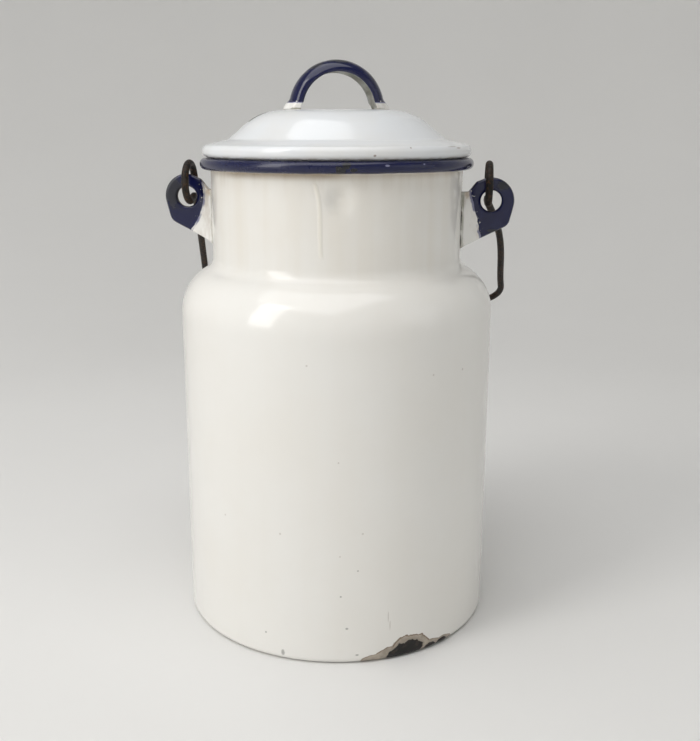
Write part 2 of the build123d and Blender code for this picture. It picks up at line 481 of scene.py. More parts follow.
ORANGE_PEEL = 0.02
CHIP_STEP = 0.25
PIT_DEPTH = 0.3
ENAMEL_WHITE = (0.80, 0.79, 0.76, 1.0)
ENAMEL_WARM = (0.70, 0.65, 0.56, 1.0)
ENAMEL_BLUE = (0.005, 0.007, 0.045, 1.0)
BLUE_THIN = (0.012, 0.018, 0.09, 1.0)
DULL_BLUE = (0.017, 0.018, 0.022, 1.0)
# Lilac of the thin margin of the blue, also used for the painted glints on the rim
LILAC = (0.20, 0.20, 0.30, 1.0)
WORN_BLACK = (0.010, 0.010, 0.013, 1.0)
WORN_GREY = (0.085, 0.082, 0.080, 1.0)
IRON_DARK = (0.009, 0.008, 0.007, 1.0)
IRON_BROWN = (0.042, 0.030, 0.022, 1.0)
RUBBED_EDGE = (0.11, 0.08, 0.065, 1.0)
RUN_CREAM = (0.82, 0.78, 0.66, 1.0)
RUST = (0.23, 0.095, 0.03, 1.0)
# Brown of water marks and dirt, which on the ears and handle also serves as painted shade
WATER_MARK_AND_SHADE = (0.33, 0.25, 0.16, 1.0)
RUST_WATER = (0.38, 0.25, 0.12, 1.0)
# Olive grey of weld grime, also laid as painted shade in the handle's hollow
GRIME_AND_SHADE_GREY = (0.27, 0.27, 0.21, 1.0)
GROUND_COAT = (0.45, 0.39, 0.32, 1.0)
CHIP_OUTLINE = (0.19, 0.13, 0.085, 1.0)


def bare_iron(t, place):
    """The colour of iron where the enamel is gone: black scale with brown bloom."""
    bloom = ramp(t, noise(t, place, 0.0025, detail=5.0), 0.48, 0.72)
    return blend_colours(t, bloom, IRON_DARK, IRON_BROWN)


def enamel_surface(t, shader, place, colour, chip, dull, raised=0.0):
    """Joins enamel and its chips: colour, gloss and relief. chip is 1 on bare iron."""
    t.feed(shader.inputs["Base Color"], blend_colours(t, chip, colour, bare_iron(t, place)))
    smear = ramp(t, noise(t, place, 0.03, detail=6.0, roughness=0.7), 0.42, 0.75, 0.13, 0.22)
    rough_iron = t.math("MULTIPLY", chip, 0.45)
    t.feed(shader.inputs["Roughness"], t.math("ADD", t.math("ADD", smear, dull), rough_iron))
    ripples = noise(t, place, 0.006, detail=2.0)
    orange_peel = t.math("MULTIPLY_ADD", ripples, ORANGE_PEEL * MM, raised)
    relief = t.math("MULTIPLY_ADD", chip, -CHIP_STEP * MM, orange_peel)
    pits = t.math("MULTIPLY", t.math("MULTIPLY", chip, noise(t, place, 0.0012)), PIT_DEPTH * MM)
    bump = t.add("ShaderNodeBump", Height=t.math("ADD", relief, pits))
    bump.inputs["Distance"].default_value = 1.0
    bump.inputs["Strength"].default_value = 0.9
    t.feed(shader.inputs["Normal"], bump)
    shader.inputs["Specular IOR Level"].default_value = 0.38
    shader.inputs["Coat Weight"].default_value = 0.25
    shader.inputs["Coat Roughness"].default_value = 0.06


def spread(t, place, size, amount, detail=5.0):
    """Noise about zero, from -amount / 2 to amount / 2, that roughens an edge."""
    return t.math("MULTIPLY", t.math("SUBTRACT", noise(t, place, size, detail), 0.5), amount)


# %% [markdown]
# ## The can's finish
# White all over, with a cobalt blue rim. The blue stops under the rolled rim, and below that
# line milk and rain have left a brown stain, strongest at the front left. One thin run of
# cream enamel goes down the neck. The largest chip is low on the front right, where the can
# was set down hard: black iron, with the grey ground coat bare around it and a thin dark
# outline. Small dark specks are flaws in the firing.

# %% Places of wear, and of painted glints, on the can
BLUE_LINE = CURL_LOW + 0.15
EAR_RUST_HEIGHT = 183.0
BARE_PATCHES = wall_spots(
    [
        (-57.3, 2.2, 6.4, 4.9),
        (-61.3, 1.4, 4.8, 3.6),
        (-47.9, 0.7, 3.1, 2.3),
        (-42.0, 1.0, 2.9, 2.0),
    ]
)
GROUND_PATCHES = wall_spots(
    [
        (-56.9, 2.0, 9.3, 6.9),
        (-63.4, 1.1, 7.6, 4.6),
        (-69.4, 0.8, 6.0, 2.5),
        (-48.0, 0.9, 6.2, 3.1),
        (-42.0, 0.8, 5.5, 2.4),
    ]
)
SPECKS = wall_spots(
    [
        (-102.6, 3.4, 0.8, 1.3),
        (-82.1, 29.2, 0.5, 0.45),
        (-80.0, 15.5, 0.6, 0.45),
        (-76.3, 39.8, 0.4, 0.4),
        (-109.1, 10.6, 0.45, 0.5),
        (-76.5, 3.9, 0.7, 0.4),
    ]
)
FAINT_MARKS = wall_spots(
    [
        (-93.2, 120.6, 0.4, 0.4),
        (-49.5, 114.6, 0.45, 0.4),
        (-35.1, 114.2, 0.5, 0.5),
        (-82.9, 83.7, 0.35, 0.4),
        (-82.4, 45.9, 0.4, 0.35),
        (-126.4, 55.9, 0.45, 0.4),
        (-103.0, 53.7, 0.4, 0.5),
        (-74.7, 55.0, 0.5, 0.35),
        (-65.4, 18.9, 0.25, 2.4),
        (-64.7, 15.2, 0.25, 2.2),
    ]
)
RIM_WEAR = spots_round(
    [
        (-81.8, BODY_RADIUS - 9.6, CURL_LOW + 1.6, 2.0, 3.0, 1.5),
        (-80.0, BODY_RADIUS - 9.6, CURL_LOW + 3.0, 2.2, 3.0, 1.6),
        (-77.6, BODY_RADIUS - 9.6, CURL_LOW + 1.4, 1.2, 3.0, 0.8),
    ]
)
# Two painted glints: small light spots on the blue rim where it would catch the light
RIM_GLINTS = spots_round(
    [
        (-64.5, BODY_RADIUS - 9.3, CURL_LOW + 3.0, 0.9, 1.2, 0.4),
        (-48.4, BODY_RADIUS - 9.3, CURL_LOW + 3.3, 0.5, 1.2, 0.3),
    ]
)
EAR_RUST = spots_round(
    [(angle, NECK_RADIUS, EAR_RUST_HEIGHT, 3.0, 3.0, 6.0) for angle in (-5.0, 180.0, -178.0)]
)
STAIN_FROM = -138.0
STAIN_TO = -82.0
RUN_ANGLE = -92.6
RUN_DRIFT = 3.0
RUN_TOP = CURL_LOW - 2.6
RUN_LENGTH = 29.0
RUN_THICKNESS = 0.2
GROUND_STEP = 0.15


# %% Water stain, enamel run and worn patches
def water_stain(t, place, round_by, height):
    """How brown the neck is under the rim: 1 at the edge of the blue, fading down."""
    streaks = noise(t, place, 0.004, detail=4.0, stretch=(1.0, 1.0, 0.12))
    near = ramp(t, height, (CURL_LOW - 3.2) * MM, CURL_LOW * MM)
    far = ramp(t, height, (CURL_LOW - 9.0) * MM, (CURL_LOW - 1.0) * MM)
    left = ramp(t, round_by, way_round(STAIN_FROM - 8) * MM, way_round(STAIN_FROM + 8) * MM)
    right = ramp(t, round_by, way_round(STAIN_TO + 6) * MM, way_round(STAIN_TO - 6) * MM)
    strength = t.math("MULTIPLY_ADD", t.math("MULTIPLY", left, right), 0.4, 0.38)
    runs = t.math("MULTIPLY", far, ramp(t, streaks, 0.42, 0.75, 0.02, 0.16))
    return t.math("MINIMUM", t.math("MULTIPLY_ADD", near, strength, runs), 1.0)


def enamel_run(t, round_by, height):
    """1 along the run of thick enamel on the neck, which drifts right as it goes down."""
    down = t.math("SUBTRACT", RUN_TOP * MM, height)
    drift = t.math("EXPONENT", t.math("DIVIDE", down, -10.0 * MM))
    centre = t.math(
        "MULTIPLY_ADD", drift, -way_round(RUN_DRIFT) * MM, way_round(RUN_ANGLE + RUN_DRIFT) * MM
    )
    wander = t.math("MULTIPLY", t.math("SINE", t.math("DIVIDE", down, 4.6 * MM)), 0.35 * MM)
    centre = t.math("ADD", centre, wander)
    aside = t.math("ABSOLUTE", t.math("SUBTRACT", round_by, centre))
    stripe = ramp(t, aside, 1.5 * MM, 0.2 * MM)
    upper_end = ramp(t, down, 0.0, 2.0 * MM)
    lower_end = ramp(t, down, RUN_LENGTH * MM, (RUN_LENGTH - 3.0) * MM)
    return t.math("MULTIPLY", stripe, t.math("MULTIPLY", upper_end, lower_end))


def worn_patches(t, place, wall_place, colour):
    """The base chip: the ground coat with its outline, and how bare the iron in it is."""
    outer = rough_distance(t, wall_place, GROUND_PATCHES, spread(t, place, 0.004, 0.55))
    inner = rough_distance(t, wall_place, BARE_PATCHES, spread(t, place, 0.003, 0.8))
    ground_tone = ramp(t, noise(t, place, 0.003, detail=4.0), 0.35, 0.7)
    dirty_ground = [c * 0.7 for c in GROUND_COAT[:3]] + [1.0]
    ground = blend_colours(t, ground_tone, GROUND_COAT, dirty_ground)
    colour = blend_colours(t, ramp(t, outer, 1.09, 1.03), colour, CHIP_OUTLINE)
    colour = blend_colours(t, ramp(t, outer, 1.02, 0.96), colour, ground)
    colour = blend_colours(t, ramp(t, inner, 1.3, 1.0), colour, dirty_ground)
    return colour, ramp(t, inner, 1.03, 0.95), ramp(t, outer, 1.09, 1.03)


# %% Can enamel
def make_can_finish():
    material, t, shader = new_finish("can_enamel")
    place = object_place(t)
    wall_place = unrolled(t, place)
    split = t.add("ShaderNodeSeparateXYZ", Vector=wall_place)
    round_by = split.outputs["X"]
    height = split.outputs["Z"]
    warm_neck = ramp(t, height, 0.14, 0.185, 0.15, 0.5)
    blotches = ramp(t, noise(t, place, 0.045, detail=3.0), 0.3, 0.75)
    colour = blend_colours(t, t.math("MULTIPLY", warm_neck, blotches), ENAMEL_WHITE, ENAMEL_WARM)
    curtain = ramp(t, noise(t, place, 0.009, detail=2.0, stretch=(1.0, 1.0, 0.06)), 0.35, 0.75)
    on_neck = ramp(t, height, 0.146, 0.156, 0.05, 0.3)
    colour = blend_colours(t, t.math("MULTIPLY", curtain, on_neck), colour, ENAMEL_WARM)

    run = enamel_run(t, round_by, height)
    colour = blend_colours(t, t.math("MULTIPLY", run, 0.3), colour, RUN_CREAM)
    stain = water_stain(t, place, round_by, height)
    colour = blend_colours(t, stain, colour, WATER_MARK_AND_SHADE)
    by_ear = rough_distance(t, wall_place, EAR_RUST, spread(t, place, 0.004, 0.9))
    colour = blend_colours(t, ramp(t, by_ear, 1.2, 0.3, 0.0, 0.55), colour, RUST_WATER)

    blue_edge = t.math("ADD", height, spread(t, place, 0.007, 0.0006, detail=2.0))
    blue = ramp(t, blue_edge, (BLUE_LINE - 0.12) * MM, (BLUE_LINE + 0.12) * MM)
    thin = ramp(t, noise(t, place, 0.012, detail=4.0), 0.45, 0.85, 0.0, 0.6)
    colour = blend_colours(t, blue, colour, blend_colours(t, thin, ENAMEL_BLUE, BLUE_THIN))
    # Painted glints: small lilac spots on the rim stand for highlights
    rim_glint = rough_distance(t, wall_place, RIM_GLINTS, spread(t, place, 0.001, 0.8))
    colour = blend_colours(t, ramp(t, rim_glint, 1.05, 0.9), colour, LILAC)

    wear = rough_distance(t, wall_place, RIM_WEAR, spread(t, place, 0.0025, 2.2))
    rim_worn = t.math("MULTIPLY", blue, ramp(t, wear, 1.15, 0.75))
    scrapes = ramp(t, noise(t, place, 0.0009, stretch=(1.0, 1.0, 0.2)), 0.58, 0.8)
    colour = blend_colours(t, rim_worn, colour, blend_colours(t, scrapes, WORN_BLACK, WORN_GREY))

    colour, chip, sunk = worn_patches(t, place, wall_place, colour)
    small_rough = spread(t, place, 0.0012, 0.9)
    faint = ramp(t, rough_distance(t, wall_place, FAINT_MARKS, small_rough), 1.15, 0.7)
    colour = blend_colours(t, t.math("MULTIPLY", faint, 0.27), colour, CHIP_OUTLINE)
    specks = ramp(t, rough_distance(t, wall_place, SPECKS, small_rough), 1.2, 0.6)
    bare = t.math("MAXIMUM", chip, t.math("MULTIPLY", specks, 0.5))
    dull = t.math("MULTIPLY_ADD", sunk, 0.2, t.math("MULTIPLY", stain, 0.15))
    lowered = t.math("MULTIPLY", sunk, -GROUND_STEP * MM)
    raised = t.math("MULTIPLY_ADD", run, RUN_THICKNESS * MM, lowered)
    enamel_surface(t, shader, place, colour, bare, dull, raised)
    return material


can_enamel = make_can_finish()
print("can finish has", len(can_enamel.node_tree.nodes), "nodes")

# %% [markdown]
# ## The can
# One outline goes from the middle of the base, over the foot and up the outside to the rolled
# rim, and back down the inside to the middle of the floor. On the real can the rim is a curl of
# the sheet; fired enamel has run into its underside and closed it, so the outline closes it
# too, with a small fillet. The dent is a knock on the neck, just under the rim. The lid was on
# when it was made, so the lid's collar, close behind the neck, gets the same dent.

# %% Can shell
SHOULDER_CORNER = 142.3
NECK_CORNER = 149.7
INSIDE_DROP = 0.71
BASE_RECESS = 2.0
RING_INSIDE = 59.0
RING_SLOPE = 2.2
can_corners = [
    (0.0, BASE_RECESS),
    (RING_INSIDE - RING_SLOPE, BASE_RECESS),
    (RING_INSIDE, 0.0),
    (BODY_RADIUS, 0.0),
    (BODY_RADIUS, SHOULDER_CORNER),
    (NECK_RADIUS, NECK_CORNER),
    (NECK_RADIUS, CURL_LOW),
    (NECK_INSIDE + CURL_WIDTH, CURL_LOW),
    (NECK_INSIDE + CURL_WIDTH, RIM_TOP),
    (NECK_INSIDE, RIM_TOP),
    (NECK_INSIDE, NECK_CORNER - INSIDE_DROP),
    (BODY_RADIUS - WALL, SHOULDER_CORNER - INSIDE_DROP),
    (BODY_RADIUS - WALL, WALL),
    (RING_INSIDE + 0.4, WALL),
    (RING_INSIDE + 0.4 - RING_SLOPE, BASE_RECESS + WALL),
    (0.0, BASE_RECESS + WALL),
]
can_bends = [1.0, 1.2, 2.6, 19.5, 6.0, 0.6, 2.15, 2.15, 2.15, 7.2, 18.3, 1.4, 0.6, 1.4]
can_outline = rounded_outline(can_corners, can_bends, step=2.0, arc_step=7.0)
DENT_ANGLE = math.radians(-82.2)
DENT_HEIGHT = 178.9
DENT_RADIUS = 8.0
DENT_DEPTH = 1.9
dent_way = Vector((math.cos(DENT_ANGLE), math.sin(DENT_ANGLE), 0.0))
dent = {
    "dent_place": (dent_way * NECK_RADIUS + Vector((0.0, 0.0, DENT_HEIGHT))) * MM,
    "dent_radius": DENT_RADIUS * MM,
    "dent_depth": DENT_DEPTH * MM,
}
can_mesh = turned_mesh(
    can_outline,
    can_enamel,
    columns=256,
    wave_depth=0.22 * MM,
    wave_length=0.045,
    seed=3.0,
    **dent,
)
place_piece("can_shell", can_mesh, can_enamel, "can", "can_body")

# %% [markdown]
# ## The lid's finish
# The lid was fired apart from the can, and its white is a touch colder. It carries a crescent
# chip where the dome turns over at the left, and fine scratches and specks on the flange.

# %% Lid enamel
LID_WHITE = (0.735, 0.755, 0.775, 1.0)
LID_CHIPS = spots_round(
    [
        (-159.0, 35.2, 207.3, 1.6, 1.3, 1.2),
        (-160.5, 33.8, 208.2, 2.2, 1.4, 1.0),
        (-161.3, 32.3, 209.0, 2.5, 1.4, 0.9),
        (-160.8, 30.8, 209.6, 2.2, 1.4, 0.8),
        (-159.2, 29.6, 210.0, 1.6, 1.2, 0.7),
    ]
)
LID_SCRATCHES = spots_round(
    [
        (-29.5, 53.2, 197.4, 4.2, 0.8, 0.3),
        (-25.0, 53.9, 196.9, 2.2, 0.8, 0.3),
        (-69.1, 54.5, 194.6, 0.6, 0.8, 0.45),
        (-53.8, 53.7, 197.2, 0.5, 0.6, 0.35),
    ]
)


def make_lid_finish():
    material, t, shader = new_finish("lid_enamel")
    place = object_place(t)
    blotches = ramp(t, noise(t, place, 0.03, detail=4.0), 0.4, 0.8, 0.0, 0.3)
    colour = blend_colours(t, blotches, LID_WHITE, ENAMEL_WARM)
    wall_place = unrolled(t, place)
    height = t.add("ShaderNodeSeparateXYZ", Vector=place).outputs["Z"]
    under_hem = ramp(t, height, (RIM_TOP + 1.6) * MM, (RIM_TOP + 0.4) * MM)
    radius = t.add("ShaderNodeSeparateXYZ", Vector=wall_place).outputs["Y"]
    off_collar = ramp(t, radius, (NECK_INSIDE - 0.4) * MM, NECK_INSIDE * MM, 0.12, 1.0)
    hem_grime = t.math("MULTIPLY", under_hem, ramp(t, noise(t, place, 0.005), 0.35, 0.65))
    hem_grime = t.math("MULTIPLY", hem_grime, off_collar)
    colour = blend_colours(t, t.math("MULTIPLY", hem_grime, 0.5), colour, WATER_MARK_AND_SHADE)
    rough = spread(t, place, 0.002, 0.9, detail=4.0)
    fine_rough = spread(t, place, 0.0015, 0.5)
    scratch = rough_distance(t, wall_place, LID_SCRATCHES, fine_rough)
    colour = blend_colours(t, ramp(t, scratch, 1.2, 0.5, 0.0, 0.7), colour, CHIP_OUTLINE)
    chip = ramp(t, rough_distance(t, wall_place, LID_CHIPS, rough), 1.03, 0.93)
    enamel_surface(t, shader, place, colour, chip, 0.0)
    return material


lid_enamel = make_lid_finish()
print("lid finish has", len(lid_enamel.node_tree.nodes), "nodes")

# %% [markdown]
# ## The lid and its collar
# Both are thin sheet, so the outline follows the middle of the sheet and is then given its
# thickness, with rounded cut edges. The lid's edge is a hem rolled in under the flange: it
# rests on the rim. The collar plugs the neck and hangs from its lip, welded under the flange.

# %% Lid dome and collar
LID_WALL = 1.0
GROOVE_RADIUS = 44.0
GROOVE_HEIGHT = RIM_TOP + 6.75
FLANGE_RADIUS = 54.7
FLANGE_DROP = 2.35
HEM_WIDTH = 4.0
flange_middle = FLANGE_RADIUS - LID_WALL / 2
flange_slope = FLANGE_DROP / (flange_middle - GROOVE_RADIUS)
hem_middle = RIM_TOP + 0.3 + LID_WALL / 2
lid_middle = rounded_outline(
    [
        (0.0, CROWN_HEIGHT - LID_WALL / 2),
        (GROOVE_RADIUS - 13.6, CROWN_HEIGHT - LID_WALL / 2),
        (GROOVE_RADIUS, GROOVE_HEIGHT),
        (flange_middle, GROOVE_HEIGHT - FLANGE_DROP),
        (flange_middle, hem_middle),
        (FLANGE_RADIUS - HEM_WIDTH, hem_middle),
    ],
    [22.5, 3.0, 1.9, 1.6],
    step=1.5,
    arc_step=4.0,
)
lid_mesh = turned_mesh(
    sheet_outline(lid_middle, LID_WALL, closed=False),
    lid_enamel,
    columns=224,
    wave_depth=0.2 * MM,
    wave_length=0.03,
    seed=7.0,
)
place_piece("lid_shell", lid_mesh, lid_enamel, "lid", "lid_dome")

COLLAR_LOW = RIM_TOP - 15.7
COLLAR_LIP = 4.0
collar_radius = NECK_INSIDE - 0.6 - LID_WALL / 2
lip_drop = LID_WALL * math.hypot(1.0, flange_slope)
collar_top = GROOVE_HEIGHT - flange_slope * (collar_radius - GROOVE_RADIUS) - lip_drop
collar_middle = rounded_outline(
    [
        (collar_radius, COLLAR_LOW),
        (collar_radius, collar_top),
        (collar_radius - COLLAR_LIP, collar_top + flange_slope * COLLAR_LIP),
    ],
    [1.6],
    step=2.0,
)
collar_outline = sheet_outline(collar_middle, LID_WALL, closed=True)
collar_mesh = turned_mesh(collar_outline, lid_enamel, columns=160, **dent)
place_piece("collar_tube", collar_mesh, lid_enamel, "lid", "lid_collar")

# %% [markdown]
# ## Blue enamel over white
# The handle and the ears were dipped white and then coated blue on top. Where the blue ends is
# a matter of each piece, so the mesh says it: every point carries a number called blue_coat,
# 1 on blue and 0 on white, and the finish sharpens that into a slightly ragged line with a
# thin lilac margin. Two more numbers say where the welds and the handle's hollow underside
# are, and where an edge is rubbed to the iron, called worn_edge. The olive grey laid where the
# first is high is grime at the welds and painted shade in the hollow. Brown streaks on the white
# are dirt, and partly painted shade, as they are made dark enough to stand for the shade on the
# ears' roots. The dull spots are where hands and the bail have rubbed the blue to a dark grey,
# and the rust spots are where water has stood.

# %% Blue and white enamel
def make_trim_finish(name, dull_spots, dull_amount, rust_spots):
    material, t, shader = new_finish(name)
    place = object_place(t)
    mark = {
        word: t.add("ShaderNodeAttribute", {"attribute_name": word}).outputs["Fac"]
        for word in ("blue_coat", "seam_and_hollow_shade", "worn_edge")
    }
    ragged = spread(t, place, 0.002, 0.3, detail=4.0)
    coat = t.math("ADD", mark["blue_coat"], ragged)
    thin = ramp(t, noise(t, place, 0.006, detail=4.0), 0.5, 0.85, 0.0, 0.5)
    blue_colour = blend_colours(t, thin, ENAMEL_BLUE, BLUE_THIN)
    # Brown streaks on the white: dirt, and partly painted shade, made dark enough to stand for the
    # shade on the ears' roots
    streaks = noise(t, place, 0.004, detail=5.0, stretch=(1.0, 1.0, 0.4))
    dirt_and_shade = ramp(t, streaks, 0.42, 0.75, 0.0, 0.45)
    colour = blend_colours(t, dirt_and_shade, ENAMEL_WHITE, WATER_MARK_AND_SHADE)
    in_places = ramp(t, noise(t, place, 0.01), 0.42, 0.55)
    margin = t.math("MULTIPLY", ramp(t, coat, 0.2, 0.36), in_places)
    colour = blend_colours(t, margin, colour, LILAC)
    colour = blend_colours(t, ramp(t, coat, 0.48, 0.52), colour, blue_colour)
    flecks = ramp(t, noise(t, place, 0.0013, detail=3.0), 0.62, 0.66, 0.0, 0.7)
    near_line = t.math("MULTIPLY", ramp(t, coat, 0.5, 0.56), ramp(t, coat, 0.95, 0.7))
    colour = blend_colours(t, t.math("MULTIPLY", flecks, near_line), colour, ENAMEL_WHITE)
    # Olive grey: grime at the welds, painted shade along the handle's hollow underside
    patchy = ramp(t, noise(t, place, 0.005, detail=4.0), 0.3, 0.65, 0.3, 0.85)
    grime_and_hollow_shade = t.math("MULTIPLY", ramp(t, mark["seam_and_hollow_shade"], 0.1, 0.45), patchy)
    colour = blend_colours(t, grime_and_hollow_shade, colour, GRIME_AND_SHADE_GREY)
    rusty = rough_distance(t, place, rust_spots, spread(t, place, 0.003, 1.2))
    colour = blend_colours(t, ramp(t, rusty, 1.2, 0.4, 0.0, 0.7), colour, RUST_WATER)
    rough_seam = t.math("ADD", mark["seam_and_hollow_shade"], spread(t, place, 0.004, 1.3))
    seam_mark = ramp(t, rough_seam, 0.75, 1.0, 0.0, 0.85)
    seam_tone = blend_colours(t, ramp(t, noise(t, place, 0.003), 0.55, 0.7), IRON_DARK, RUST)
    colour = blend_colours(t, seam_mark, colour, seam_tone)
    rubbed = ramp(t, t.math("ADD", mark["worn_edge"], spread(t, place, 0.005, 1.6)), 0.5, 1.0)
    colour = blend_colours(t, t.math("MULTIPLY", rubbed, 0.8), colour, RUBBED_EDGE)
    field = rough_distance(t, place, dull_spots, spread(t, place, 0.003, 1.3))
    dull_blue = ramp(t, field, 1.3, 0.5, 0.0, dull_amount)
    colour = blend_colours(t, dull_blue, colour, DULL_BLUE)
    dull = t.math("MULTIPLY", t.math("MAXIMUM", rubbed, dull_blue), 0.25)
    enamel_surface(t, shader, place, colour, t.math("MULTIPLY", rubbed, 0.15), dull)
    return material


def mark_points(mesh, name, values):
    """Writes one number for each point of a mesh, for the finish to read."""
    layer = mesh.attributes.new(name, "FLOAT", "POINT")
    layer.data.foreach_set("value", values)


# %% [markdown]
# ## The lid's handle
# A strap of sheet, half round in section and hollow underneath, bent to an arch. Each end
# spreads into a foot on the crown. The mesh is a band of sections along the arch: close to a
# foot the section leans outwards and widens. The outside is blue down to the feet, and the
# hollow side and the feet are white.

# %% Handle strap
HANDLE_TURN = math.radians(16.5)
HANDLE_RADIUS = 19.5
HANDLE_DEPTH = 4.8
HANDLE_HALF_WIDTH = 6.5
STRAP_WALL = 1.0
FOOT_RISE = 4.2
FOOT_INNER = 1.0
FOOT_OUTER = 1.9
SECTION_STEPS = 14
ARCH_STEPS = 96
BLUE_ABOVE = 3.0

handle_dull = [
    ((2.0, -2.0, CROWN_HEIGHT + HANDLE_RADIUS), (7.5, 5.0, 1.6)),
    ((-8.0, -4.0, CROWN_HEIGHT + 17.0), (4.0, 3.0, 2.0)),
    ((14.0, 2.0, CROWN_HEIGHT + 13.0), (2.5, 3.0, 3.5)),
]
foot_spin = Matrix.Rotation(HANDLE_TURN, 3, "Z")
handle_rust = [
    (foot_spin @ Vector((side * (HANDLE_RADIUS - 5.0), -2.0, CROWN_HEIGHT)), (1.6, 2.6, 1.3))
    for side in (-1, 1)
]
handle_enamel = make_trim_finish("handle_enamel", handle_dull, 0.9, handle_rust)


def handle_section(spread_out):
    """The half-round strap as (outward from the arch, across it, is outside, edge)."""
    points = []
    half = HANDLE_HALF_WIDTH - 0.9 * spread_out * (1 - spread_out)
    inner_half = half - STRAP_WALL
    inner_depth = (HANDLE_DEPTH - STRAP_WALL) * (1 - 0.6 * spread_out)
    for k in range(SECTION_STEPS + 1):
        a = math.pi * (k / SECTION_STEPS - 0.5)
        points.append((HANDLE_DEPTH * math.cos(a), half * math.sin(a), 1.0, abs(math.sin(a)) ** 8))
    for k in range(SECTION_STEPS + 1):
        a = math.pi * (0.5 - k / SECTION_STEPS)
        points.append((inner_depth * math.cos(a), inner_half * math.sin(a), 0.0, 0.0))
    return points


def pooled(along, across):
    """How far the enamel pooled round a foot, which differs from side to side."""
    return 0.35 * math.sin(1.3 * across + along) + 0.25 * math.sin(2.9 * across - 0.6 * along)


def make_handle():
    work = bmesh.new()
    rings = []
    marks = {"blue_coat": [], "seam_and_hollow_shade": [], "worn_edge": []}
    mouth = HANDLE_RADIUS - HANDLE_DEPTH
    for step in range(ARCH_STEPS + 1):
        turn = math.pi * step / ARCH_STEPS
        rise = math.sin(turn) * HANDLE_RADIUS
        foot = math.sin(math.pi / 2 * max(0.0, 1.0 - rise / FOOT_RISE)) ** 1.3
        ring = []
        for out, across, outside, edge in handle_section(foot):
            reach = mouth + out
            lean = foot * (-FOOT_INNER + (FOOT_INNER + FOOT_OUTER) * out / HANDLE_DEPTH)
            lean += foot * pooled(math.copysign(4.0, math.cos(turn)), across)
            along = math.cos(turn) * reach + math.copysign(lean, math.cos(turn))
            up = max(math.sin(turn) * reach, 0.0)
            place = Vector((along, across, CROWN_HEIGHT + up))
            ring.append(work.verts.new(foot_spin @ place * MM))
            blue_end = min(1.0, max(0.0, 0.5 + (up - BLUE_ABOVE) / 1.5))
            marks["blue_coat"].append(outside * blue_end)
            # Welds at the feet, and the hollow side, which the finish darkens as painted shade
            marks["seam_and_hollow_shade"].append(0.6 * foot if up < 0.6 else 0.45 * (1.0 - outside))
            marks["worn_edge"].append(edge * 0.45 if up > BLUE_ABOVE else 0.0)
        rings.append(ring)
    count = len(rings[0])
    for near, far in zip(rings, rings[1:]):
        for k in range(count):
            work.faces.new((near[k], near[(k + 1) % count], far[(k + 1) % count], far[k]))
    work.faces.new(rings[0])
    work.faces.new(rings[-1])
    mesh = bpy.data.meshes.new("handle")
    work.to_mesh(mesh)
    work.free()
    outward_normals(mesh)
    for word, values in marks.items():
        mark_points(mesh, word, values)
    return mesh


place_piece(
    "handle_strap", make_handle(), handle_enamel, "lid", "lid_handle"
)

# %% [markdown]
# ## The ears
# An ear is a pressed ring on a root that flares onto the neck. Seen from the front its outline
# is the tight band round the ring, two rounds below it and the root on the neck, with a notch
# nipped out of its top. No two ears are alike, so each has its own rounds and blue line.
# The mesh is spun round the hole: each spoke runs from the hole's edge to that outline, front
# and back, with rounded edges and a thickness that grows towards the neck.

# %% Ear outline
EAR_HOLE = 4.2
EAR_RING = 9.3
EAR_HALF_THICK = 1.4
EAR_ROUND = 1.1
ROOT_X = NECK_RADIUS - 0.6 - EAR_X
ROOT_LOW = -19.1
ROOT_HIGH = 5.1
FLARE_START = -4.4
FLARE_BEND = 8.6
FLARE_LENGTH = 8.0
NOTCH_HEIGHT = 3.6
NOTCH_SLOPE = 1.23
NOTCH_FOOT = Vector((-9.7, 3.1))
EAR_SPOKES = 144
OUTLINE_STEPS = 180
BAND_STEPS = 16
EDGE_STEPS = 5
FAR_AWAY = 1e9


def notch_reach(ray):
    """How far the ear goes towards the top of its root, where a notch is nipped out of it."""
    if ray.y < 0.05 or ray.x > 0:
        return FAR_AWAY
    slant = NOTCH_FOOT.y - NOTCH_SLOPE * NOTCH_FOOT.x
    return max(slant / (ray.y - NOTCH_SLOPE * ray.x), NOTCH_HEIGHT / ray.y)


def ear_reach(direction, rounds):
    """How far the outline is from the hole's centre, in a direction of the side view."""
    ray = Vector((math.cos(direction), math.sin(direction)))
    corners = [Vector((ROOT_X, ROOT_LOW)), Vector((ROOT_X, ROOT_HIGH))]
    best = FAR_AWAY
    for k in range(OUTLINE_STEPS):
        a = 2 * math.pi * k / OUTLINE_STEPS
        normal = Vector((math.cos(a), math.sin(a)))
        facing = normal.dot(ray)
        if facing < 1e-4:
            continue
        reach = max(normal.dot(c) + r for c, r in rounds)
        reach = max([reach] + [normal.dot(corner) for corner in corners])
        best = min(best, reach / facing)
    return min(best, notch_reach(ray))


def flare(x):
    """Half thickness of the ear at x from the hole's centre, growing towards the neck."""
    into = max(0.0, FLARE_START - x)
    return EAR_HALF_THICK + FLARE_BEND - math.sqrt(FLARE_BEND**2 - min(into, FLARE_LENGTH) ** 2)


